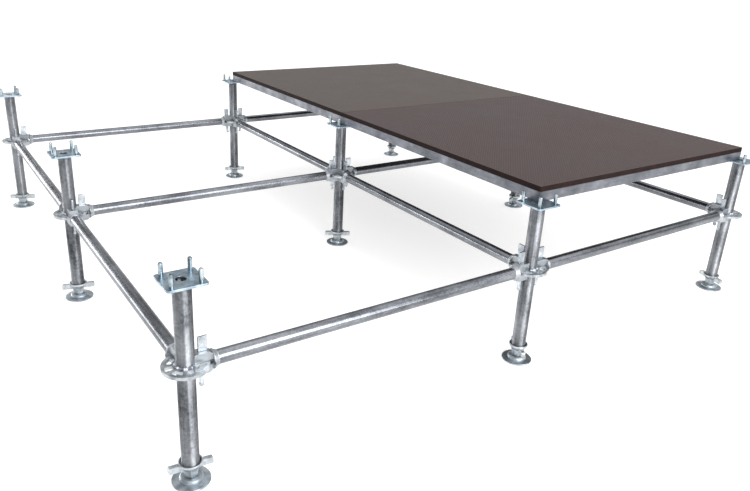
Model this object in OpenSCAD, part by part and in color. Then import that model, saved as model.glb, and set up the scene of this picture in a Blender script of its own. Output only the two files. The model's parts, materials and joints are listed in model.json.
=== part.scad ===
// Modular stage riser: nine rosette legs on screw feet, twelve wedge-locked ledgers, two lift-off decks.
// Millimetres, +Z up. The origin is on the floor under the centre leg.
// X runs left to right, Y runs front to back.

/* [Grid] */
// Distance between leg axes, both ways
bay = 1220; // [900:10:1500]
// Height of the rosettes' middle plane over the floor
rosette_z = 354; // [240:1:420]
// Height of the head plates' top face over the floor
plate_z = 594; // [500:1:800]

/* [Leg] */
// Outside diameter of the leg tube
leg_d = 48.3; // [48.3:0.1:50]
// Wall of the leg tube
leg_wall = 3.2; // [2.6:0.1:4]
// Height of the ring that is rolled into the tube above its foot
leg_ring_z = 124; // [90:1:180]

/* [Rosette] */
// Outside diameter of the rosette
rosette_d = 122; // [120:1:126]
// Thickness of the rosette
rosette_t = 9; // [8:0.5:10]

/* [Head plate] */
// Side of the square head plate
plate_w = 104; // [96:1:110]
// Thickness of the head plate
plate_t = 6; // [6:1:10]
// Diameter of the hole in the middle of the head plate
plate_hole_d = 28; // [20:1:34]
// Distance between the locating pins, both ways
pin_pitch = 73; // [71:0.5:78]
// Diameter of a locating pin
pin_d = 12; // [10:0.5:13]
// Height of a locating pin over its plate
pin_h = 35; // [24:1:35]

/* [Ledger] */
// Outside diameter of the ledger tube
ledger_d = 40; // [36:0.5:42.4]
// Wall of the ledger tube
ledger_wall = 2.6; // [2:0.1:4]
// Height of a ledger head
head_h = 60; // [58:1:66]

/* [Wedge] */
// Thickness of a wedge
wedge_t = 6; // [5:0.5:6]
// How far a wedge rises over its ledger head
wedge_rise = 42; // [30:1:45]
// How far a wedge hangs below its ledger head
wedge_drop = 42; // [42:1:50]

/* [Foot] */
// Diameter of the base plate
foot_d = 105; // [100:1:115]
// Diameter of the threaded spindle
spindle_d = 28; // [26:0.5:28]
// Height of the spindle's end over the floor
spindle_top = 300; // [260:5:330]
// Height of the leg's lower end, which stands in the wing nut
leg_foot_z = 54; // [54:1:60]
// Span over the two wings of the nut
wing_span = 121; // [100:1:124]

/* [Deck] */
// Height of the deck frame
frame_h = 36; // [36:1:45]
// Width of a frame rail
rail_w = 28; // [24:1:28]
// Wall of the frame rails and cross bars
rail_wall = 2.5; // [2:0.1:4]
// Thickness of the plywood panel
panel_t = 18; // [12:1:21]
// Gap between two decks
deck_gap = 2; // [1:0.5:4]

/* [Hidden] */
$fn = 48;
rows = ["front", "middle", "back"];
columns = ["left", "centre", "right"];
spots = [0, 1, 2];
gaps = [0, 1];
deck_rows = [0, 1];

// How each wing nut was left standing, in degrees from X: one row of legs after another
nut_turn = [
    [-6, 62, 75],
    [-12, -30, 20],
    [-24, -18, 40]
];

leg_r = leg_d / 2;
rosette_r = rosette_d / 2;
ledger_r = ledger_d / 2;

// Rosette holes: long narrow ones on the axes, shorter wide ones between them
hole_corner = 4;
narrow_in = 33;
narrow_out = 54.5;
narrow_hole_w = 18;
wide_in = 35;
wide_out = 52;
wide_hole_turn = 17;

// Ledger head: the mouth, the back face that the tube is welded to, and the slot for the wedge
mouth_h = rosette_t + 1;
mouth_end = rosette_r + 2;
head_back = 82;
head_r = head_h / 2;
slot_in = 32.4;
slot_out = 56.4;
slot_w = wedge_t + 1;

// Wedge: distances of its edges from the leg's axis at the head's top face, and their lean per millimetre
wedge_top = head_r + wedge_rise;
wedge_low = -head_r - wedge_drop;
wedge_in = slot_in + 1.2;
wedge_out = slot_out - 0.5;
inner_lean = 0.015;
outer_lean = 0.1;
tail_r = 7;
rivet_r = 4;
rivet_w = slot_w + 3;

// Foot and nut: the dome of the base plate, and the neck of the nut that stands close above it
crown_z = 18;
dome_r = 33;
dome_round = 11;
neck_low = crown_z + 2;
neck_top = leg_foot_z - 6;

panel_z = plate_z + frame_h;
deck_edge = deck_gap / 2;
deck_w = bay - deck_gap;
pin_place = pin_pitch / 2;
bar_pitch = (deck_w - 2 * rail_w) / 3;

galvanised = "silver";
cast_steel = "darkgray";
zinc_plated = "lightsteelblue";
aluminium = "gainsboro";
brown_film = "saddlebrown";

function spot_name(row, column) = str(rows[row], "_", columns[column]);
function leg_place(row, column) = [(column - 1) * bay, (row - 1) * bay, 0];

// Edges of a wedge at a height over the rosette's middle plane
function wedge_inner(z) = wedge_in - (z - head_r) * inner_lean;
function wedge_outer(z) = wedge_out + (z - head_r) * outer_lean;

// Ledgers are named by the two legs that they join
function across_name(row, gap) = str(spot_name(row, gap), "_to_", columns[gap + 1]);
function along_name(column, gap) = str(spot_name(gap, column), "_to_", rows[gap + 1]);

// Puts its children at every leg
module at_every_leg() {
    for (row = spots, column = spots)
        translate(leg_place(row, column)) children();
}

// Ring of tube wall between two radii
module ring(outer, inner) {
    difference() {
        circle(outer);
        circle(inner);
    }
}

// Flat wedge of the plane, from the centre outwards, turn degrees to each side of X
module sector(turn, reach) {
    polygon([
        [0, 0],
        [reach * cos(turn), -reach * sin(turn)],
        [reach / cos(turn), 0],
        [reach * cos(turn), reach * sin(turn)]
    ]);
}

// Tube with a ring rolled into it above the foot
module leg_tube() {
    ring_w = 4;
    ring_depth = 0.6;
    color(galvanised) difference() {
        translate([0, 0, leg_foot_z])
            linear_extrude(plate_z - plate_t - leg_foot_z) ring(leg_r, leg_r - leg_wall);
        translate([0, 0, leg_ring_z])
            rotate_extrude()
                polygon([
                    [leg_r + 1, -ring_w / 2],
                    [leg_r + 1, ring_w / 2],
                    [leg_r - ring_depth, ring_w / 4],
                    [leg_r - ring_depth, -ring_w / 4]
                ]);
    }
}

// Narrow hole for a ledger's wedge, lying along X
module narrow_hole() {
    length = narrow_out - narrow_in;
    core = length - 2 * hole_corner;
    wide = narrow_hole_w - 2 * hole_corner;
    translate([narrow_in + length / 2, 0]) {
        square([length, wide], center = true);
        square([core, narrow_hole_w], center = true);
        for (x = [-core / 2, core / 2], y = [-wide / 2, wide / 2])
            translate([x, y]) circle(hole_corner);
    }
}

// Wide hole for a brace's wedge, bent round the leg, with round corners
module wide_hole() {
    inner = wide_in + hole_corner;
    outer = wide_out - hole_corner;
    inner_turn = wide_hole_turn - asin(hole_corner / inner);
    outer_turn = wide_hole_turn - asin(hole_corner / outer);
    intersection() {
        ring(outer, inner);
        sector(wide_hole_turn, rosette_r);
    }
    intersection() {
        ring(wide_out, wide_in);
        sector(inner_turn, rosette_r);
    }
    for (side = [-1, 1]) {
        rotate(side * inner_turn) translate([inner, 0]) circle(hole_corner);
        rotate(side * outer_turn) translate([outer, 0]) circle(hole_corner);
        rotate(side * (inner_turn + outer_turn) / 2)
            translate([(inner + outer) / 2, 0]) square([outer - inner, hole_corner], center = true);
    }
}

module rosette() {
    color(galvanised)
        translate([0, 0, rosette_z - rosette_t / 2])
            linear_extrude(rosette_t)
                difference() {
                    ring(rosette_r, leg_r);
                    for (quarter = [0:3]) {
                        rotate(90 * quarter) narrow_hole();
                        rotate(90 * quarter + 45) wide_hole();
                    }
                }
}

// Square plate with round corners
module head_plate() {
    corner = 9;
    half = plate_w / 2;
    color(zinc_plated)
        translate([0, 0, plate_z - plate_t])
            linear_extrude(plate_t)
                difference() {
                    union() {
                        square([plate_w, plate_w - 2 * corner], center = true);
                        square([plate_w - 2 * corner, plate_w], center = true);
                        for (x = [-1, 1], y = [-1, 1])
                            translate([x, y] * (half - corner)) circle(corner);
                    }
                    circle(plate_hole_d / 2);
                }
}

// Pin with a chamfered end
module locating_pin() {
    chamfer = 2;
    color(zinc_plated)
        translate([0, 0, plate_z])
            rotate_extrude()
                polygon([
                    [0, 0],
                    [pin_d / 2, 0],
                    [pin_d / 2, pin_h - chamfer],
                    [pin_d / 2 - chamfer, pin_h],
                    [0, pin_h]
                ]);
}

module pin_square() {
    for (x = [-pin_place, pin_place], y = [-pin_place, pin_place])
        translate([x, y, 0]) locating_pin();
}

// Collar of the ledger head, turned about the ledger's axis: a low rim, then a taper to the tube
module head_collar() {
    rim_r = head_r - 2;
    rim_front = mouth_end + 4;
    rim_back = rim_front + 6;
    edge = 2;
    neck_r = ledger_r + 2;
    rotate([0, 90, 0])
        rotate_extrude()
            polygon([
                [0, rim_front],
                [rim_r - edge, rim_front],
                [rim_r, rim_front + edge],
                [rim_r, rim_back - edge],
                [rim_r - edge, rim_back],
                [neck_r, head_back - edge],
                [neck_r - edge / 2, head_back],
                [0, head_back]
            ]);
}

// Flat-cheeked block in front of the collar, narrow enough for four heads and four braces round a leg
module head_block() {
    cheek = 15;
    slope_start = slot_out + 2;
    slope_drop = 8;
    block_end = mouth_end + 5;
    rotate([90, 0, 0])
        linear_extrude(2 * cheek, center = true)
            polygon([
                [0, -head_r],
                [slope_start, -head_r],
                [block_end, slope_drop - head_r],
                [block_end, head_r - slope_drop],
                [slope_start, head_r],
                [0, head_r]
            ]);
}

// Cast head: two jaws that bear on the leg above and below the rosette, and a slot for the wedge
module ledger_head() {
    eye_r = 7.5;
    color(cast_steel) difference() {
        union() {
            head_collar();
            head_block();
        }
        translate([0, 0, -head_h]) cylinder(h = 2 * head_h, r = leg_r);
        translate([0, -head_h / 2, -mouth_h / 2]) cube([mouth_end, head_h, mouth_h]);
        translate([mouth_end, 0, 0])
            rotate([90, 0, 0]) cylinder(h = head_h, r = eye_r, center = true);
        translate([slot_in, -slot_w / 2, -head_h]) cube([slot_out - slot_in, slot_w, 2 * head_h]);
    }
}

module ledger_tube() {
    color(galvanised)
        translate([head_back + 0.1, 0, 0])
            rotate([0, 90, 0])
                linear_extrude(bay - 2 * head_back - 0.2) ring(ledger_r, ledger_r - ledger_wall);
}

// A tube and its two heads, along X from the leg at the origin to the next
module ledger() {
    translate([0, 0, rosette_z]) {
        ledger_tube();
        ledger_head();
        translate([bay, 0, 0]) rotate(180) ledger_head();
    }
}

// Tapered blade with round top corners; its round tail leans to the leg and is kept in by a rivet
module wedge() {
    corner = 2.5;
    corner_z = wedge_top - corner;
    corner_in = wedge_inner(corner_z) + corner;
    corner_out = wedge_outer(corner_z) - corner;
    tail_z = wedge_low + tail_r;
    tail_lean = 1.2;
    tail_x = (wedge_inner(tail_z) + wedge_outer(tail_z)) / 2 - tail_lean;
    color(zinc_plated) translate([0, 0, rosette_z]) rotate([90, 0, 0]) {
        linear_extrude(wedge_t, center = true) {
            polygon([
                [wedge_inner(tail_z), tail_z],
                [wedge_outer(tail_z), tail_z],
                [corner_out + corner, corner_z],
                [corner_out, wedge_top],
                [corner_in, wedge_top],
                [corner_in - corner, corner_z]
            ]);
            for (x = [corner_in, corner_out]) translate([x, corner_z]) circle(corner);
            translate([tail_x, tail_z]) circle(tail_r);
        }
        translate([tail_x, tail_z, -rivet_w / 2]) cylinder(h = rivet_w, r = rivet_r);
    }
}

// The two wedges of one ledger, which lies along X from the leg at the origin to the next
module wedge_pair() {
    wedge();
    translate([bay, 0, 0]) rotate(180) wedge();
}

// Ledgers from left to right
module across(row, gap) {
    translate(leg_place(row, gap)) children();
}

// Ledgers from front to back
module along(column, gap) {
    translate(leg_place(gap, column)) rotate(90) children();
}

// Cup that the leg stands in
module nut_cup() {
    cup_r = leg_r + 1.2;
    rim_r = leg_r + 8.5;
    rim_z = leg_foot_z + 9;
    root_r = 20;
    root_z = neck_top - 8;
    rotate_extrude()
        polygon([
            [0, root_z],
            [root_r, root_z],
            [rim_r - 2.5, leg_foot_z - 1],
            [rim_r, leg_foot_z + 4],
            [rim_r, rim_z - 1],
            [rim_r - 1, rim_z],
            [cup_r + 4, rim_z],
            [cup_r, leg_foot_z + 2],
            [cup_r, leg_foot_z],
            [0, leg_foot_z]
        ]);
}

// Six-sided neck below the cup, which is threaded on the spindle
module nut_neck() {
    turn_from_wings = 15;
    rotate(turn_from_wings)
        translate([0, 0, neck_low])
            cylinder(h = neck_top - neck_low, r1 = spindle_d / 2 + 4.8, r2 = leg_r + 0.8, $fn = 6);
}

// Stub wing on the nut, along X: deep at the cup, with a round end
module nut_wing() {
    wing_t = 13;
    end_r = 5;
    root = 22;
    low = leg_foot_z - 15;
    high = leg_foot_z + 4;
    end = wing_span / 2 - end_r;
    rotate([90, 0, 0])
        linear_extrude(wing_t, center = true) {
            polygon([
                [root, low],
                [end, low],
                [end + end_r, low + end_r],
                [end + end_r, high - end_r],
                [end, high],
                [leg_r + 5, high],
                [root, leg_foot_z - 6]
            ]);
            for (z = [low + end_r, high - end_r]) translate([end, z]) circle(end_r);
        }
}

module wing_nut() {
    color(zinc_plated) difference() {
        union() {
            nut_cup();
            nut_neck();
            for (turn = [0, 180]) rotate(turn) nut_wing();
        }
        cylinder(h = leg_foot_z + 1, r = spindle_d / 2 + 0.6);
    }
}

// Half section of the base plate: a flat rim round a dome, hollow below
module foot_section() {
    foot_r = foot_d / 2;
    rim_t = 5;
    wall = 5.5;
    difference() {
        union() {
            polygon([
                [0, 0],
                [foot_r - 1, 0],
                [foot_r, 1],
                [foot_r, rim_t - 1],
                [foot_r - 1, rim_t],
                [dome_r, rim_t + 1.5],
                [0, rim_t + 1.5]
            ]);
            intersection() {
                translate([dome_r - dome_round, crown_z - dome_round]) circle(dome_round);
                square([dome_r, crown_z]);
            }
            square([dome_r - dome_round, crown_z]);
        }
        square([dome_r - wall, crown_z - dome_round]);
        square([dome_r - dome_round, crown_z - wall]);
        translate([dome_r - dome_round, crown_z - dome_round]) circle(dome_round - wall);
    }
}

// Pressed base plate with the spindle welded to its crown
module foot() {
    chamfer = 2;
    low = crown_z - 4;
    color(zinc_plated) {
        rotate_extrude() foot_section();
        translate([0, 0, low])
            cylinder(h = spindle_top - low - chamfer, d = spindle_d);
        translate([0, 0, spindle_top - chamfer])
            cylinder(h = chamfer, d1 = spindle_d, d2 = spindle_d - 2 * chamfer);
    }
}

// Corner of a deck, on the head plate of the leg at its front left
module at_deck(row) {
    translate(leg_place(row, 1)) children();
}

module deck_panel() {
    color(brown_film)
        translate([deck_edge, deck_edge, panel_z]) cube([deck_w, deck_w, panel_t]);
}

// Box tube along X
module box_tube(length) {
    difference() {
        cube([length, rail_w, frame_h]);
        translate([-1, rail_wall, rail_wall])
            cube([length + 2, rail_w - 2 * rail_wall, frame_h - 2 * rail_wall]);
    }
}

// Box tube along X whose ends are cut at 45 degrees, with a hair's breadth left for the weld
module mitred_rail() {
    weld = 0.1;
    intersection() {
        box_tube(deck_w);
        translate([0, 0, -1])
            linear_extrude(frame_h + 2)
                polygon([
                    [weld, 0],
                    [deck_w - weld, 0],
                    [deck_w - rail_w - weld, rail_w],
                    [rail_w + weld, rail_w]
                ]);
    }
}

module deck_frame() {
    color(aluminium)
        translate([bay / 2, bay / 2, plate_z])
            for (turn = [0, 90, 180, 270])
                rotate(turn) translate([-deck_w / 2, -deck_w / 2, 0]) mitred_rail();
}

module deck_cross_bars() {
    color(aluminium)
        for (bar = [1, 2])
            translate([deck_edge + rail_w, deck_edge + rail_w + bar * bar_pitch - rail_w / 2, plate_z])
                box_tube(deck_w - 2 * rail_w);
}

for (row = spots, column = spots) {
    name = spot_name(row, column);
    translate(leg_place(row, column)) leg_tube();
    translate(leg_place(row, column)) rotate(nut_turn[row][column]) wing_nut();
    translate(leg_place(row, column)) foot();
}
at_every_leg() rosette();  // rosettes
at_every_leg() head_plate();  // head_plates
at_every_leg() pin_square();  // locating_pins
for (line = spots, gap = gaps) {
    across(line, gap) ledger();
    along(line, gap) ledger();
    across(line, gap) wedge_pair();
    along(line, gap) wedge_pair();
}
for (row = deck_rows) {
    name = rows[row * 2];
    at_deck(row) deck_panel();
    at_deck(row) deck_frame();
    at_deck(row) deck_cross_bars();
}
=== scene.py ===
# %% [markdown]
# # A modular stage riser, dressed for the camera
# The solids of the riser come from the CAD frame: nine legs on screw feet, ledgers that are wedged to
# rosettes, and two decks that lift off their pins. This lesson keeps every solid where it is and gives it
# what a solid lacks: rounded edges, weld beads, a thread, screws, and finishes that look like the real ones.

# %% Load the frame
import json
import math

import bmesh
import bpy
from mathutils import Matrix, Vector

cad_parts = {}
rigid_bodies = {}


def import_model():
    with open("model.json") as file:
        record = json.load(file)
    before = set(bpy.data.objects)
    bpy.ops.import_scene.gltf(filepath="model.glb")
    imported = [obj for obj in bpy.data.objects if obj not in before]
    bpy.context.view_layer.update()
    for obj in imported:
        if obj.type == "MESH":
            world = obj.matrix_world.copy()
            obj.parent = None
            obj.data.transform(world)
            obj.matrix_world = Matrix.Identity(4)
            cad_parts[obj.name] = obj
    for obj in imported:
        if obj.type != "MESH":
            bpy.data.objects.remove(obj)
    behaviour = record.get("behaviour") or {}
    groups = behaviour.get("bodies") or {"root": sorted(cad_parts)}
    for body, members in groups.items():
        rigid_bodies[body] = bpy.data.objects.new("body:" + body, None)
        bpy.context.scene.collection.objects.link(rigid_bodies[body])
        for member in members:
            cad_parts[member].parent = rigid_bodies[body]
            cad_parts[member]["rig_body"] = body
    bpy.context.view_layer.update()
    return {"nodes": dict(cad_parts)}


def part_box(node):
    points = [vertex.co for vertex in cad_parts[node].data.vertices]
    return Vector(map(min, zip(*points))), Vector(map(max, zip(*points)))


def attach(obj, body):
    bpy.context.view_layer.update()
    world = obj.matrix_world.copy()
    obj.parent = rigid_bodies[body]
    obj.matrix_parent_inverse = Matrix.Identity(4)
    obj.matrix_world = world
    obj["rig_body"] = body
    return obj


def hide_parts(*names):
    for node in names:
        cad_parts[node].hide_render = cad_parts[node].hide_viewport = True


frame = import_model()
nodes = frame["nodes"]

# %% [markdown]
# The grid of legs could be typed in again, but then two files would have to agree. It is read from the frame
# instead: a leg's box gives its axis, and a ledger's box says which way the ledger runs.

# %% Read the grid
MM = 0.001
SPOTS = [f"{row}_{column}" for row in ("front", "middle", "back") for column in ("left", "centre", "right")]
LEDGERS = [name.removeprefix("ledger_") for name in sorted(nodes) if name.startswith("ledger_")]
DECKS = ("front", "back")


def middle(node):
    low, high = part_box(node)
    return (low + high) / 2


def runs_across(name):
    low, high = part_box(f"ledger_{name}")
    return (high - low).x > (high - low).y


leg_axis = {spot: Vector((middle(f"leg_{spot}").x, middle(f"leg_{spot}").y, 0)) for spot in SPOTS}
bay = leg_axis["middle_right"].x - leg_axis["middle_centre"].x
rosette_low, rosette_high = (corner.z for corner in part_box("rosettes"))
plate_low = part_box("head_plates")[0].z
leg_r = (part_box("leg_middle_centre")[1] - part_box("leg_middle_centre")[0]).x / 2
print(f"bay {bay / MM:.0f} mm, leg radius {leg_r / MM:.2f} mm, rosettes at {rosette_high / MM:.0f} mm")

# %% [markdown]
# The camera stands to the front left, a little above a person's waist, and is tipped slightly to one side.
# Its place and lens come from fitting the legs' feet, rosettes and deck corners to the photograph, which is a
# crop: the lens looks at a point a little to the left of the picture's middle and above it. A camera could be
# aimed at a target, but three angles say the same and keep the tip to one side.

# %% Camera
CAMERA_PLACE = Vector((-1.7235, -2.681, 1.327))
CAMERA_YAW, CAMERA_PITCH, CAMERA_ROLL = (math.radians(a) for a in (34.55, 21.085, 2.726))
CAMERA_LENS, CAMERA_SENSOR, CAMERA_SHIFT = 33.465, 36.0, (0.0222, -0.0280)


def make_camera():
    forward = Vector((
        math.sin(CAMERA_YAW) * math.cos(CAMERA_PITCH),
        math.cos(CAMERA_YAW) * math.cos(CAMERA_PITCH),
        -math.sin(CAMERA_PITCH),
    ))
    level = Vector((math.cos(CAMERA_YAW), -math.sin(CAMERA_YAW), 0))
    upright = level.cross(forward)
    right = math.cos(CAMERA_ROLL) * level + math.sin(CAMERA_ROLL) * upright
    up = -math.sin(CAMERA_ROLL) * level + math.cos(CAMERA_ROLL) * upright
    data = bpy.data.cameras.new("camera")
    data.lens, data.sensor_width, data.sensor_fit = CAMERA_LENS, CAMERA_SENSOR, "HORIZONTAL"
    data.shift_x, data.shift_y = CAMERA_SHIFT
    camera = bpy.data.objects.new("camera", data)
    bpy.context.scene.collection.objects.link(camera)
    turned = Matrix((right, up, -forward)).transposed().to_4x4()
    camera.matrix_world = Matrix.Translation(CAMERA_PLACE) @ turned
    bpy.context.scene.camera = camera
    return camera


print("camera at", [round(v, 3) for v in make_camera().matrix_world.translation])

# %% [markdown]
# Materials are built from nodes. Each node could be set up by hand, which takes many lines. Here one function
# adds a node with its settings and links, one joins the results to the main shader, and one turns a colour as
# seen on a screen into the linear numbers that a shader works with.

# %% Node helper and colours


def linear(hex_colour):
    parts = [int(hex_colour[i:i + 2], 16) / 255 for i in (1, 3, 5)]
    return tuple(c / 12.92 if c <= 0.04045 else ((c + 0.055) / 1.055) ** 2.4 for c in parts) + (1.0,)


def add(tree, kind, settings=(), stops=(), **links):
    """Adds a node. Settings are its properties, and stops are the positions and colours of a ramp.

    A link is a socket of another node or a plain value; its input is named, or numbered after an underscore.
    """
    node = tree.nodes.new(kind)
    for name, value in dict(settings).items():
        setattr(node, name, value)
    for name, value in links.items():
        key = int(name[1:]) if name[0] == "_" and name[1:].isdigit() else name.replace("_", " ")
        socket = node.inputs[key]
        if isinstance(value, bpy.types.NodeSocket):
            tree.links.new(value, socket)
        else:
            socket.default_value = value
    if stops:
        points = node.color_ramp.elements
        while len(points) < len(stops):
            points.new(0.5)
        for point, (position, colour) in zip(points, stops):
            point.position, point.color = position, linear(colour)
    return node


def material(name):
    """An empty material: itself, its tree and its main shader."""
    made = bpy.data.materials.new(name)
    made.use_nodes = True
    return made, made.node_tree, made.node_tree.nodes["Principled BSDF"]


def join(tree, shader, **results):
    for name, result in results.items():
        tree.links.new(result, shader.inputs[name.replace("_", " ")])


print("white is", linear("#ffffff")[:3])

# %% [markdown]
# The studio floor is pale paint. More light could take it to paper white, but that would bleach the object as
# well. Here the paint gets a lift of its own that the camera and reflections see, and the shadow stays.

# %% Floor
FLOOR_RADIUS, FLOOR_SIDES = 40.0, 96
FLOOR_DROP = 0.2 * MM  # keeps the floor clear of the base plates' rims
FLOOR_PAINT, FLOOR_ROUGHNESS, FLOOR_LIFT = "#c4c4c3", 0.9, 0.64


def make_floor():
    bpy.ops.mesh.primitive_circle_add(
        vertices=FLOOR_SIDES, radius=FLOOR_RADIUS, fill_type="NGON", location=(0, 0, -FLOOR_DROP)
    )
    floor = bpy.context.object
    floor.name = "studio_floor"
    made, tree, shader = material("painted_studio_floor")
    shader.inputs["Base Color"].default_value = linear(FLOOR_PAINT)
    shader.inputs["Roughness"].default_value = FLOOR_ROUGHNESS
    shader.inputs["Emission Color"].default_value = linear("#ffffff")
    rays = add(tree, "ShaderNodeLightPath").outputs
    seen = rays["Is Camera Ray"]
    for kind in ("Is Glossy Ray", "Is Transmission Ray"):
        seen = add(tree, "ShaderNodeMath", {"operation": "MAXIMUM"}, _0=seen, _1=rays[kind]).outputs[0]
    lift = add(tree, "ShaderNodeMath", {"operation": "MULTIPLY"}, _0=seen, _1=FLOOR_LIFT)
    join(tree, shader, Emission_Strength=lift.outputs[0])
    floor.data.materials.append(made)


make_floor()
print("floor", FLOOR_RADIUS, "m")

# %% [markdown]
# Round metal looks like metal when it mirrors something bright beside something dark. An even white room would
# leave it flat and grey. So the walls are white at the floor with a dark belt above and a pale ceiling, a row of
# low windows stands behind the stage, and a tall open door in front of it. A broad sun lights the floor evenly.

# %% Light
SUN_STRENGTH, SUN_SPREAD, SUN_WAY = 0.7, math.radians(90), (-0.25, 0.30, -1.0)
WINDOW_WIDE, WINDOW_HIGH, WINDOW_PLACE, WINDOW_RADIANCE = 12.0, 1.6, (-4.7, 8.8, 0.9), 6.5
DOOR_WIDE, DOOR_HIGH, DOOR_PLACE, DOOR_RADIANCE = 3.4, 3.4, (-0.1, -4.4, 2.4), 6.0
# the walls and the ceiling, by the sine of the height: white at the floor, a dark belt, a pale ceiling
WALLS = (
    (0.05, "#ffffff"), (0.17, "#eeeeee"), (0.26, "#727272"), (0.36, "#747474"),
    (0.46, "#cccccc"), (0.70, "#f0f0f0"), (1.0, "#ffffff"),
)  # fmt: skip


def add_lamp(name, kind, way):
    lamp = bpy.data.objects.new(name, bpy.data.lights.new(name, kind))
    lamp.rotation_euler = Vector(way).to_track_quat("-Z", "Y").to_euler()
    bpy.context.scene.collection.objects.link(lamp)
    return lamp


def add_panel(name, wide, high, place, radiance):
    """An upright lit panel that faces the stage, seen in reflections alone."""
    lamp = add_lamp(name, "AREA", (-place[0], -place[1], 0))
    lamp.data.shape, lamp.data.size, lamp.data.size_y = "RECTANGLE", wide, high
    lamp.data.energy = radiance * math.pi * wide * high
    lamp.location = place
    lamp.visible_camera = False


def make_walls():
    world = bpy.data.worlds.new("studio")
    bpy.context.scene.world = world
    world.use_nodes = True
    tree = world.node_tree
    direction = add(tree, "ShaderNodeTexCoord").outputs["Generated"]
    height = add(tree, "ShaderNodeSeparateXYZ", Vector=direction).outputs["Z"]
    light = add(tree, "ShaderNodeValToRGB", stops=WALLS, Fac=height).outputs["Color"]
    join(tree, tree.nodes["Background"], Strength=light)
    tree.nodes["Background"].inputs["Color"].default_value = linear("#ffffff")


sun = add_lamp("key_sun", "SUN", SUN_WAY)
sun.data.energy, sun.data.angle = SUN_STRENGTH, SUN_SPREAD
add_panel("door_light", DOOR_WIDE, DOOR_HIGH, DOOR_PLACE, DOOR_RADIANCE)
add_panel("window_light", WINDOW_WIDE, WINDOW_HIGH, WINDOW_PLACE, WINDOW_RADIANCE)
make_walls()
bpy.context.scene.view_settings.view_transform = "Standard"
print("a sun, an open door of", DOOR_WIDE, "m and windows over", WINDOW_WIDE, "m")

# %% [markdown]
# The small parts are plated in a zinc bath: wedges, nuts, feet, head plates and pins. Plating is thin and
# bright with a bluish rinse, so tool marks show through it and hammered places go dull. A picture of zinc could
# be laid on, but it would need unwrapping and would repeat. Noise in the part's own coordinates does neither.

# %% Zinc-plated steel
RINSE_WIDE, RINSE_RANGE = 22 * MM, (0.34, 0.66)
GRAIN_WIDE, GRAIN_DEEP, GRAIN_STRENGTH = 2.5 * MM, 0.2 * MM, 0.2


def zinc_plated(name, darker, lighter, roughness):
    made, tree, shader = material(name)
    place = add(tree, "ShaderNodeTexCoord").outputs["Object"]
    rinse = add(tree, "ShaderNodeTexNoise", Vector=place, Scale=1 / RINSE_WIDE, Detail=4.0).outputs["Fac"]
    grain = add(tree, "ShaderNodeTexNoise", Vector=place, Scale=1 / GRAIN_WIDE, Detail=3.0).outputs["Fac"]
    stops = tuple(zip(RINSE_RANGE, (darker, lighter)))
    tint = add(tree, "ShaderNodeValToRGB", stops=stops, Fac=rinse).outputs["Color"]
    low, high = roughness
    matt = add(tree, "ShaderNodeMapRange", Value=grain, To_Min=low, To_Max=high).outputs[0]
    bump = add(tree, "ShaderNodeBump", Strength=GRAIN_STRENGTH, Distance=GRAIN_DEEP, Height=grain)
    join(tree, shader, Base_Color=tint, Roughness=matt, Normal=bump.outputs[0])
    shader.inputs["Metallic"].default_value = 1.0
    return made


plate_zinc = zinc_plated("zinc_plated_sheared_plate", "#8496a4", "#b9c9d4", (0.28, 0.42))
pin_zinc = zinc_plated("zinc_plated_turned_pin", "#7b8991", "#c0cbd0", (0.14, 0.26))
wedge_zinc = zinc_plated("zinc_plated_forged_wedge", "#9aa1a8", "#cfd5da", (0.2, 0.34))
foot_zinc = zinc_plated("zinc_plated_deep_drawn_steel", "#8b949b", "#bac2c8", (0.36, 0.52))
nut_zinc = zinc_plated("zinc_plated_cast_iron", "#9da3a8", "#d0d5d9", (0.34, 0.56))
weld_zinc = zinc_plated("zinc_sprayed_weld_bead", "#9296a0", "#ccd0d6", (0.3, 0.5))
rosette_zinc = zinc_plated("hot_dip_galvanised_rosette", "#8d9399", "#cbd0d4", (0.32, 0.5))
print("plated:", plate_zinc.name, wedge_zinc.name, weld_zinc.name)

# %% [markdown]
# Galvanised tube is steel dipped in molten zinc. Zinc sets in crystals a few millimetres wide (the spangle),
# runs a little along the tube, and dulls in clouds as it ages. To the eye that is a grey metal, satin, with
# pale and dark patches and faint streaks along its length. A ledger's cast heads are zinc-coated too, but
# newer and whiter with a sandy skin. They could have a material of their own, but tube and heads are one
# solid, so a mask by the distance to the next leg tells them apart.

# %% Galvanised steel
STREAK_WIDE, STREAK_LONG, STREAK_SHARE = 5 * MM, 300 * MM, 0.22
CLOUD_LONG, CLOUD_SCALE = 16 * MM, 0.09  # with the streaks' width: clouds about 55 mm wide and 180 mm long
SPANGLE_WIDE, SPANGLE_SHARE = 7 * MM, 0.10
TONE_RANGE, CAST_RANGE = (0.46, 0.84), (0.35, 0.7)
SKIN_DEEP, SKIN_STRENGTH = 0.4 * MM, 0.12
HEAD_LENGTH = 82 * MM  # from the leg's axis to the end of a cast head
CAST_TONES, CAST_ROUGHNESS, CAST_SAND = ("#959ba1", "#caced2"), 0.46, 1.6 * MM
RING_HEIGHT, RING_WIDTH, RING_TONE = 124 * MM, 2.0 * MM, "#a2a5aa"  # a pale mark round a leg, over its nut
ALONG_THE_TUBE = 0.25  # a quarter turn, so that reflections are drawn out along the tube


def drawn_out(along, wide, long):
    """The scales of a pattern that is longer along one axis."""
    return [1 / (long if axis == along else wide) for axis in range(3)]


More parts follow.
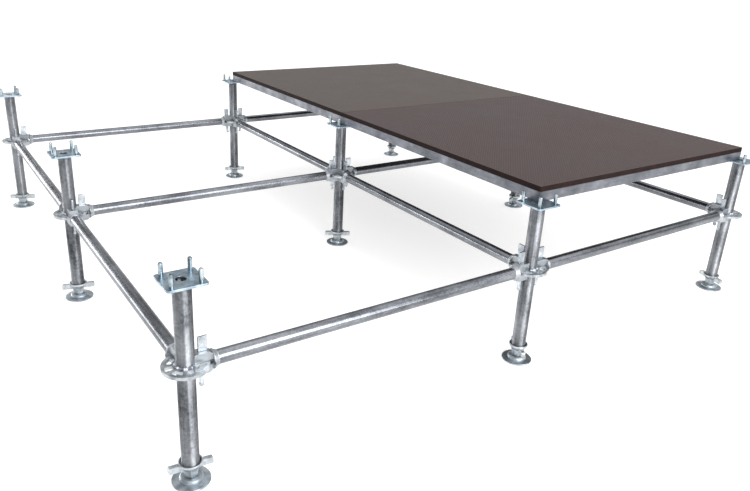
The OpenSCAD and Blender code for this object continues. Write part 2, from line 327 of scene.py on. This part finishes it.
def galvanised(name, along, tones, gloss, drawn, heads=False, ring=False):
    made, tree, shader = material(name)
    place = add(tree, "ShaderNodeTexCoord").outputs["Object"]
    axes = add(tree, "ShaderNodeSeparateXYZ", Vector=place)
    runs = add(tree, "ShaderNodeMapping", Vector=place, Scale=drawn_out(along, STREAK_WIDE, STREAK_LONG))
    streaks = add(tree, "ShaderNodeTexNoise", Vector=runs.outputs[0], Scale=1.0, Detail=3.0).outputs["Fac"]
    laid = add(tree, "ShaderNodeMapping", Vector=place, Scale=drawn_out(along, STREAK_WIDE, CLOUD_LONG))
    clouds = add(
        tree, "ShaderNodeTexNoise", Vector=laid.outputs[0], Scale=CLOUD_SCALE, Detail=5.0, Roughness=0.6
    ).outputs["Fac"]
    spangle = add(tree, "ShaderNodeTexVoronoi", Vector=place, Scale=1 / SPANGLE_WIDE)
    crystals = add(tree, "ShaderNodeSeparateColor", Color=spangle.outputs["Color"]).outputs[0]
    tone = clouds
    for pattern, share in ((crystals, SPANGLE_SHARE), (streaks, STREAK_SHARE)):
        tone = add(
            tree, "ShaderNodeMath", {"operation": "MULTIPLY_ADD"}, _0=pattern, _1=share, _2=tone
        ).outputs[0]
    stops = tuple(zip(TONE_RANGE, tones))
    colour = add(tree, "ShaderNodeValToRGB", stops=stops, Fac=tone).outputs["Color"]
    dull = add(tree, "ShaderNodeMapRange", Value=clouds, To_Min=gloss[0], To_Max=gloss[1]).outputs[0]
    skin = clouds
    if ring:
        mark = add(
            tree, "ShaderNodeMath", {"operation": "COMPARE"},
            _0=axes.outputs[along], _1=RING_HEIGHT, _2=RING_WIDTH / 2,
        ).outputs[0]
        colour = add(
            tree, "ShaderNodeMix", {"data_type": "RGBA"}, _0=mark, _6=colour, _7=linear(RING_TONE)
        ).outputs[2]
    if heads:
        to_leg = add(tree, "ShaderNodeMath", {"operation": "PINGPONG"}, _0=axes.outputs[along], _1=bay / 2)
        cast = add(
            tree, "ShaderNodeMath", {"operation": "LESS_THAN"}, _0=to_leg.outputs[0], _1=HEAD_LENGTH
        ).outputs[0]
        sand = add(tree, "ShaderNodeTexNoise", Vector=place, Scale=1 / CAST_SAND, Detail=2.0).outputs["Fac"]
        stops = tuple(zip(CAST_RANGE, CAST_TONES))
        pale = add(tree, "ShaderNodeValToRGB", stops=stops, Fac=clouds).outputs["Color"]
        colour = add(
            tree, "ShaderNodeMix", {"data_type": "RGBA"}, _0=cast, _6=colour, _7=pale
        ).outputs[2]
        dull = add(tree, "ShaderNodeMix", _0=cast, _2=dull, _3=CAST_ROUGHNESS).outputs[0]
        skin = add(tree, "ShaderNodeMix", _0=cast, _2=skin, _3=sand).outputs[0]
    bump = add(tree, "ShaderNodeBump", Strength=SKIN_STRENGTH, Distance=SKIN_DEEP, Height=skin)
    tangent = add(tree, "ShaderNodeTangent", {"direction_type": "RADIAL", "axis": "XYZ"[along]}).outputs[0]
    join(tree, shader, Tangent=tangent, Base_Color=colour, Roughness=dull, Normal=bump.outputs[0])
    shader.inputs["Anisotropic"].default_value = drawn
    shader.inputs["Anisotropic Rotation"].default_value = ALONG_THE_TUBE
    shader.inputs["Metallic"].default_value = 1.0
    return made


AXES = {"x": 0, "y": 1, "z": 2}
LEG_TUBE = (("#515459", "#b6b9be"), (0.46, 0.56), 1.0)  # tones, roughness, and how far the gloss is drawn out
LEDGER_TUBE = (("#5a5d62", "#989ba1"), (0.19, 0.3), 0.8)
leg_zinc = galvanised("hot_dip_galvanised_leg_tube", AXES["z"], *LEG_TUBE, ring=True)
across_zinc = galvanised("hot_dip_galvanised_ledger_across", AXES["x"], *LEDGER_TUBE, heads=True)
along_zinc = galvanised("hot_dip_galvanised_ledger_along", AXES["y"], *LEDGER_TUBE, heads=True)
print("galvanised:", leg_zinc.name, across_zinc.name, along_zinc.name)

# %% [markdown]
# The deck is birch plywood faced with a dark brown phenolic film. A wire mesh was pressed into the film while
# it was hot, which leaves a fine grid, duller on its ridges, that keeps shoes from slipping. Modelled ridges
# would take millions of faces, so two crossed waves make the grid in colour, gloss and bump. The front panel's
# film is the redder one. The back panel's film is a lighter, greyer copy of it, and that is painted sheen: the
# brighter reflection that the back deck catches is put into its colour.

# %% Phenolic film
MESH_PITCH = 12 * MM  # about 2.5 mm on such films: drawn coarser, so that it shows at this distance
MESH_SHARE, MESH_DEEP, MESH_STRENGTH = 0.5, 0.5 * MM, 0.3
WEAR_WIDE = 260 * MM
FILM_RANGE, FILM_ROUGHNESS = (0.15, 0.95), (0.3, 0.52)


def film_faced(name, darker, lighter):
    made, tree, shader = material(name)
    place = add(tree, "ShaderNodeTexCoord").outputs["Object"]
    axes = add(tree, "ShaderNodeSeparateXYZ", Vector=place).outputs
    wires = []
    for sign in (1.0, -1.0):
        slant = add(tree, "ShaderNodeMath", {"operation": "MULTIPLY_ADD"}, _0=axes["Y"], _1=sign, _2=axes["X"])
        turns = add(
            tree, "ShaderNodeMath", {"operation": "MULTIPLY"}, _0=slant.outputs[0], _1=2 * math.pi / MESH_PITCH
        )
        wires.append(add(tree, "ShaderNodeMath", {"operation": "SINE"}, _0=turns.outputs[0]).outputs[0])
    grid = add(tree, "ShaderNodeMath", {"operation": "MAXIMUM"}, _0=wires[0], _1=wires[1]).outputs[0]
    wear = add(
        tree, "ShaderNodeTexNoise", Vector=place, Scale=1 / WEAR_WIDE, Detail=5.0, Roughness=0.55
    ).outputs["Fac"]
    resin = add(
        tree, "ShaderNodeMath", {"operation": "MULTIPLY_ADD"}, _0=grid, _1=MESH_SHARE, _2=wear
    ).outputs[0]
    stops = tuple(zip(FILM_RANGE, (darker, lighter)))
    brown = add(tree, "ShaderNodeValToRGB", stops=stops, Fac=resin).outputs["Color"]
    low, high = FILM_ROUGHNESS
    polish = add(tree, "ShaderNodeMapRange", Value=resin, To_Min=low, To_Max=high).outputs[0]
    bump = add(tree, "ShaderNodeBump", Strength=MESH_STRENGTH, Distance=MESH_DEEP, Height=grid)
    join(tree, shader, Base_Color=brown, Roughness=polish, Normal=bump.outputs[0])
    return made


FILMS = {
    "front": film_faced("phenolic_film_mesh_pressed_red_brown", "#180c0d", "#412b2b"),
    # the back copy is lighter and greyer in colour: painted sheen for the back deck's brighter reflection
    "back": film_faced("phenolic_film_lighter_copy_painted_sheen", "#1d1614", "#50433d"),
}
print("deck:", *(film.name for film in FILMS.values()))

# %% [markdown]
# The sawn edge of the plywood is sealed with red-brown paint. It is matt, and the plies show through it as
# faint lines. Lines that follow the height stay level all round the panel, so a wave of the height is enough.

# %% Sealed plywood edge
PLY, PLY_SHARE = 1.4 * MM, 0.12
SCUFF_WIDE, SCUFF_DEEP, SCUFF_STRENGTH = 25 * MM, 0.3 * MM, 0.2
EDGE_STOPS = ((0.3, "#100706"), (0.75, "#28120d"))
EDGE_ROUGHNESS, EDGE_SPECULAR = 0.8, 0.2


def sealed_edge():
    made, tree, shader = material("plywood_edge_sealed_with_paint")
    place = add(tree, "ShaderNodeTexCoord").outputs["Object"]
    height = add(tree, "ShaderNodeSeparateXYZ", Vector=place).outputs["Z"]
    turns = add(tree, "ShaderNodeMath", {"operation": "MULTIPLY"}, _0=height, _1=math.pi / PLY).outputs[0]
    plies = add(tree, "ShaderNodeMath", {"operation": "SINE"}, _0=turns).outputs[0]
    scuffs = add(tree, "ShaderNodeTexNoise", Vector=place, Scale=1 / SCUFF_WIDE, Detail=4.0).outputs["Fac"]
    layers = add(
        tree, "ShaderNodeMath", {"operation": "MULTIPLY_ADD"}, _0=plies, _1=PLY_SHARE, _2=scuffs
    ).outputs[0]
    red = add(tree, "ShaderNodeValToRGB", stops=EDGE_STOPS, Fac=layers).outputs["Color"]
    bump = add(tree, "ShaderNodeBump", Strength=SCUFF_STRENGTH, Distance=SCUFF_DEEP, Height=layers)
    join(tree, shader, Base_Color=red, Normal=bump.outputs[0])
    shader.inputs["Roughness"].default_value = EDGE_ROUGHNESS
    shader.inputs["Specular IOR Level"].default_value = EDGE_SPECULAR
    return made


edge_paint = sealed_edge()
print("edge:", edge_paint.name)

# %% [markdown]
# The deck's frame is box tube with a mill finish: rolled, cut, welded and left as it came. It is duller than
# zinc, with rolling lines along each rail, cloudy stains and pale scuffs. Noise that is squeezed in height
# gives lines on upright faces, whichever way the rail runs.

# %% Mill-finish frame
LINE_LONG, LINE_SQUEEZE, LINE_SHARE = 60 * MM, (1, 1, 9), 0.35
LINE_DEEP, LINE_STRENGTH = 0.3 * MM, 0.15
STAIN_WIDE = 110 * MM
MILL_STOPS = ((0.45, "#53565d"), (0.70, "#76787f"), (0.95, "#9b9fa7"))
MILL_ROUGHNESS = (0.24, 0.40)


def mill_finish():
    made, tree, shader = material("mill_finish_aluminium_box_tube")
    place = add(tree, "ShaderNodeTexCoord").outputs["Object"]
    rolled = add(tree, "ShaderNodeMapping", Vector=place, Scale=LINE_SQUEEZE).outputs[0]
    lines, stains = (
        add(tree, "ShaderNodeTexNoise", Vector=where, Scale=1 / wide, Detail=detail, Roughness=0.6).outputs["Fac"]
        for where, wide, detail in ((rolled, LINE_LONG, 5.0), (place, STAIN_WIDE, 4.0))
    )
    tone = add(
        tree, "ShaderNodeMath", {"operation": "MULTIPLY_ADD"}, _0=lines, _1=LINE_SHARE, _2=stains
    ).outputs[0]
    grey = add(tree, "ShaderNodeValToRGB", stops=MILL_STOPS, Fac=tone).outputs["Color"]
    low, high = MILL_ROUGHNESS
    matt = add(tree, "ShaderNodeMapRange", Value=stains, To_Min=low, To_Max=high).outputs[0]
    bump = add(tree, "ShaderNodeBump", Strength=LINE_STRENGTH, Distance=LINE_DEEP, Height=lines)
    join(tree, shader, Base_Color=grey, Roughness=matt, Normal=bump.outputs[0])
    shader.inputs["Metallic"].default_value = 1.0
    return made


mill_aluminium = mill_finish()
print("frame:", mill_aluminium.name)

# %% [markdown]
# A CAD solid has edges as sharp as a razor, and no real part has. A bevel modifier would trip over the solid's
# many small triangles. So each solid is copied, its flat faces are joined again, and its hard edges get a small
# round, which is where metal catches the light. The copy stands for the solid, which stays hidden in its place.

# %% Rounded copies of the solids
SAME_POINT = 0.002 * MM
FLAT, SHARP, CREASE = (math.radians(a) for a in (0.4, 32, 48))
ROUND_STEPS = 2


def finish_mesh(obj, finish):
    obj.data.materials.append(finish)
    obj.data.shade_smooth()
    obj.data.set_sharp_from_angle(angle=CREASE)
    even = obj.modifiers.new("flats_stay_flat", "WEIGHTED_NORMAL")
    even.weight, even.keep_sharp = 100, True


def new_object(name, bm):
    mesh = bpy.data.meshes.new(name)
    bm.to_mesh(mesh)
    bm.free()
    made = bpy.data.objects.new(name, mesh)
    bpy.context.scene.collection.objects.link(made)
    return made


def rounded(node, finish, round_mm, shortest=0.0, cut_above=None):
    """Copies a solid with rounded edges. Edges shorter than the shortest stay sharp."""
    bm = bmesh.new()
    bm.from_mesh(nodes[node].data)
    bmesh.ops.remove_doubles(bm, verts=bm.verts, dist=SAME_POINT)
    if cut_above:
        bmesh.ops.delete(bm, geom=[vert for vert in bm.verts if vert.co.z > cut_above], context="VERTS")
        bmesh.ops.holes_fill(bm, edges=bm.edges)
    bmesh.ops.dissolve_limit(bm, angle_limit=FLAT, verts=bm.verts, edges=bm.edges)
    hard = [
        edge for edge in bm.edges
        if len(edge.link_faces) == 2 and edge.calc_face_angle() > SHARP and edge.calc_length() > shortest
    ]
    bmesh.ops.bevel(
        bm, geom=hard, offset=round_mm * MM, offset_type="OFFSET", segments=ROUND_STEPS, profile=0.5,
        affect="EDGES", clamp_overlap=True, miter_outer="ARC",
    )
    copy = new_object(f"{node}_rounded", bm)
    finish_mesh(copy, finish)
    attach(copy, nodes[node]["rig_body"])
    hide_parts(node)
    return copy


print("rounds of", ROUND_STEPS, "steps on edges over", round(math.degrees(SHARP)), "degrees")

# %% [markdown]
# The round suits how each part was made: almost none on a sawn tube, more on a casting. A foot's plain spindle
# is cut off above its dome, because a threaded one takes its place below.

# %% Round every solid
CROWN = 18 * MM  # top of a foot's dome, where its spindle starts
CUT_OVER_CROWN = 0.3 * MM
LONG_EDGE = 0.3  # m: on the decks' frames only the long edges are rounded, so that the mitres stay closed
LEVEL = 0.9  # faces that are more level than this are film, the others are sawn edge

for spot in SPOTS:
    rounded(f"leg_{spot}", leg_zinc, round_mm=0.3)
    rounded(f"wing_nut_{spot}", nut_zinc, round_mm=0.9)
    rounded(f"foot_{spot}", foot_zinc, round_mm=0.5, cut_above=CROWN + CUT_OVER_CROWN)
rounded("rosettes", rosette_zinc, round_mm=0.9)
rounded("head_plates", plate_zinc, round_mm=0.7)
rounded("locating_pins", pin_zinc, round_mm=0.4)
for name in LEDGERS:
    tube_zinc = across_zinc if runs_across(name) else along_zinc
    rounded(f"ledger_{name}", tube_zinc, round_mm=0.9)
    rounded(f"wedges_{name}", wedge_zinc, round_mm=0.7)
for deck in DECKS:
    panel = rounded(f"deck_panel_{deck}", FILMS[deck], round_mm=0.8)
    panel.data.materials.append(edge_paint)
    for face in panel.data.polygons:
        face.material_index = int(abs(face.normal.z) < LEVEL)
    for part in ("deck_frame", "deck_cross_bars"):
        rounded(f"{part}_{deck}", mill_aluminium, round_mm=1.5, shortest=LONG_EDGE)

# %% [markdown]
# The screw of a foot is cut with a coarse round thread of 6 mm a turn. A screw modifier could wind it, but its
# ends would stay open. Here it is a grid of points that winds up the spindle, so that the ridge rises by one
# lead in one turn, and both ends are cut level. It hides in the leg until the wing nut lets the foot out.

# %% Threaded spindles
LEAD, CREST, ROOT = 6 * MM, 14 * MM, 12.2 * MM
PROFILE = ((0.0, ROOT), (0.22, ROOT), (0.45, CREST), (0.77, CREST))
ROUND = 20
SUNK = 2 * MM  # how far the spindle starts inside the dome
SPECK = 0.01 * MM


def new_piece(name, bm, finish, body):
    bmesh.ops.recalc_face_normals(bm, faces=bm.faces)
    piece = new_object(name, bm)
    finish_mesh(piece, finish)
    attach(piece, body)


def threaded_spindle(spot):
    low, high = CROWN - SUNK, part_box(f"foot_{spot}")[1].z
    bm = bmesh.new()
    rows = []
    for turn in range(-1, math.ceil((high - low) / LEAD) + 1):
        for rise, radius in PROFILE:
            row = []
            for step in range(ROUND):
                height = low + LEAD * (turn + rise + step / ROUND)
                angle = 2 * math.pi * step / ROUND
                point = leg_axis[spot] + radius * Vector((math.cos(angle), math.sin(angle), 0))
                row.append(bm.verts.new(point + Vector((0, 0, min(max(height, low), high)))))
            rows.append(row)
    for above, row in enumerate(rows[:-len(PROFILE) - 1], 1):
        turned = rows[above - 1 + len(PROFILE)], rows[above + len(PROFILE)]
        for step in range(ROUND - 1):
            bm.faces.new((row[step], row[step + 1], rows[above][step + 1], rows[above][step]))
        bm.faces.new((row[-1], turned[0][0], turned[1][0], rows[above][-1]))
    bmesh.ops.delete(bm, geom=[vert for vert in bm.verts if not vert.link_faces], context="VERTS")
    bmesh.ops.dissolve_degenerate(bm, dist=SPECK, edges=bm.edges)
    bmesh.ops.holes_fill(bm, edges=bm.edges)
    new_piece(f"spindle_{spot}", bm, pin_zinc, f"foot_{spot}")


for spot in SPOTS:
    threaded_spindle(spot)

# %% [markdown]
# Rosette, head plate, ledger heads and base plate are all welded on. A weld is laid down drop by drop, so a
# bead is a round cord with ripples, thinner where it starts and ends. A bevelled curve would be smooth, so the
# cord is swept ring by ring, and two waves of different length make its drops uneven.

# %% A weld bead
BEAD_STEP, BEAD_SIDES = 2.4 * MM, 8


def bead(bm, centre, u, v, radius, thick, start=0.0, end=2 * math.pi):
    """Sweeps a rippled bead round an arc from u towards v."""
    closed = end - start > 2 * math.pi - 0.01
    count = max(6, round((end - start) * radius / BEAD_STEP))
    rings = []
    for i in range(count + (not closed)):
        angle = start + (end - start) * i / count
        out = math.cos(angle) * u + math.sin(angle) * v
        ripple = 0.80 + 0.15 * math.sin(2.1 * i) + 0.16 * math.sin(0.9 * i + 9 * centre.x + 4 * centre.y)
        size = thick * ripple * (1.0 if closed else min(1.0, 0.4 + 0.3 * min(i, count - i)))
        rings.append([
            bm.verts.new(centre + out * (radius + size * math.cos(t)) + u.cross(v) * size * math.sin(t))
            for t in (2 * math.pi * corner / BEAD_SIDES for corner in range(BEAD_SIDES))
        ])
    for ring, following in zip(rings, rings[1:] + rings[:1] if closed else rings[1:]):
        for corner in range(BEAD_SIDES):
            after = (corner + 1) % BEAD_SIDES
            bm.faces.new((ring[corner], ring[after], following[after], following[corner]))
    if not closed:
        bm.faces.new(rings[0])
        bm.faces.new(rings[-1])


print("a drop of weld every", round(BEAD_STEP / MM, 1), "mm")

# %% [markdown]
# At a rosette, ledger heads sit against the leg, and a welder has to stop short of them. So the ways in which
# ledgers leave each leg are collected first.

# %% Ledgers at each leg
UP, ACROSS, ALONG = Vector((0, 0, 1)), Vector((1, 0, 0)), Vector((0, 1, 0))
NEAR = 5 * MM

ledger_ends = {spot: [] for spot in SPOTS}
for name in LEDGERS:
    runs = ACROSS if runs_across(name) else ALONG
    halfway = Vector((*middle(f"ledger_{name}").xy, 0))
    for spot, axis in leg_axis.items():
        for way in (runs, -runs):
            if (axis + way * bay / 2 - halfway).length < NEAR:
                ledger_ends[spot].append(way)
print("ledger heads:", sum(map(len, ledger_ends.values())))

# %% [markdown]
# The beads then go round every leg: above and below the rosette between the heads, under the head plate, round
# each ledger at its head, and round the spindle on its dome. Beads of one kind make one piece on the framework,
# and each foot carries its own.

# %% Lay the welds
ROSETTE_BEAD, PLATE_BEAD, LEDGER_BEAD, FOOT_BEAD = 6.2 * MM, 3.4 * MM, 2.0 * MM, 1.6 * MM
OUT_OF_CORNER, OFF_SPINDLE = 0.6 * MM, 0.5 * MM  # a bead's middle stands this far off the surfaces it joins
LEDGER_BEAD_R = 20 * MM
HEAD_HALF_ANGLE = math.asin(15 * MM / leg_r) + 0.12  # half of a 30 mm wide head, and a gap
SHORTEST_ARC = 0.3

on_rosettes, on_plates, on_ledgers = bmesh.new(), bmesh.new(), bmesh.new()
for spot, axis in leg_axis.items():
    round_leg = leg_r + OUT_OF_CORNER
    taken = sorted(math.atan2(way.y, way.x) % (2 * math.pi) for way in ledger_ends[spot])
    for here, following in zip(taken, taken[1:] + [taken[0] + 2 * math.pi]):
        start, end = here + HEAD_HALF_ANGLE, following - HEAD_HALF_ANGLE
        if end - start > SHORTEST_ARC:
            for height in (rosette_low - OUT_OF_CORNER, rosette_high + OUT_OF_CORNER):
                bead(on_rosettes, axis + UP * height, ACROSS, ALONG, round_leg, ROSETTE_BEAD, start, end)
    bead(on_plates, axis + UP * (plate_low - OUT_OF_CORNER), ACROSS, ALONG, round_leg, PLATE_BEAD)
    for way in ledger_ends[spot]:
        centre = axis + way * HEAD_LENGTH + UP * (rosette_low + rosette_high) / 2
        bead(on_ledgers, centre, UP, way.cross(UP), LEDGER_BEAD_R, LEDGER_BEAD)
    on_foot = bmesh.new()
    bead(on_foot, axis + UP * CROWN, ACROSS, ALONG, CREST + OFF_SPINDLE, FOOT_BEAD)
    new_piece(f"foot_weld_{spot}", on_foot, foot_zinc, f"foot_{spot}")
welds = {"rosette_welds": on_rosettes, "head_plate_welds": on_plates, "ledger_head_welds": on_ledgers}
for name, bm in welds.items():
    new_piece(name, bm, weld_zinc, "framework")
print("weld beads at", len(SPOTS), "legs:", *welds)

# %% [markdown]
# Panels are screwed to their frames from below, with pan heads every 200 mm or so. The heads are turned on a
# lathe, so a profile is swung round its axis, with a recess for the driver in the middle. A plain cylinder
# would be quicker, but it has no crown to catch the light.

# %% Deck screws
HEAD_PROFILE = ((1.7, 1.0), (2.1, 2.3), (3.4, 2.2), (4.6, 1.3), (5.0, 0.0))  # radius and depth, in mm
HEAD_SIDES = 18
SCREW_PITCH, SCREW_STEPS = 203 * MM, (-2, -1, 0, 1, 2)
RAIL_MIDDLE = 14 * MM


def pan_head(bm, place):
    rings = []
    for radius, depth in HEAD_PROFILE:
        turns = (2 * math.pi * k / HEAD_SIDES for k in range(HEAD_SIDES))
        rings.append([
            bm.verts.new(place + Vector((radius * math.cos(t), radius * math.sin(t), -depth)) * MM) for t in turns
        ])
    bm.faces.new(rings[0])
    for ring, following in zip(rings, rings[1:]):
        for k in range(HEAD_SIDES):
            after = (k + 1) % HEAD_SIDES
            bm.faces.new((ring[k], ring[after], following[after], following[k]))
    bm.faces.new(rings[-1])


for deck in DECKS:
    low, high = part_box(f"deck_frame_{deck}")
    centre = (low + high) / 2
    screws = bmesh.new()
    for step in SCREW_STEPS:
        for side in (low.x + RAIL_MIDDLE, high.x - RAIL_MIDDLE):
            pan_head(screws, Vector((side, centre.y + step * SCREW_PITCH, low.z)))
        for side in (low.y + RAIL_MIDDLE, high.y - RAIL_MIDDLE):
            pan_head(screws, Vector((centre.x + step * SCREW_PITCH, side, low.z)))
    new_piece(f"deck_screws_{deck}", screws, pin_zinc, f"deck_{deck}")
print("screws under", len(DECKS), "decks")
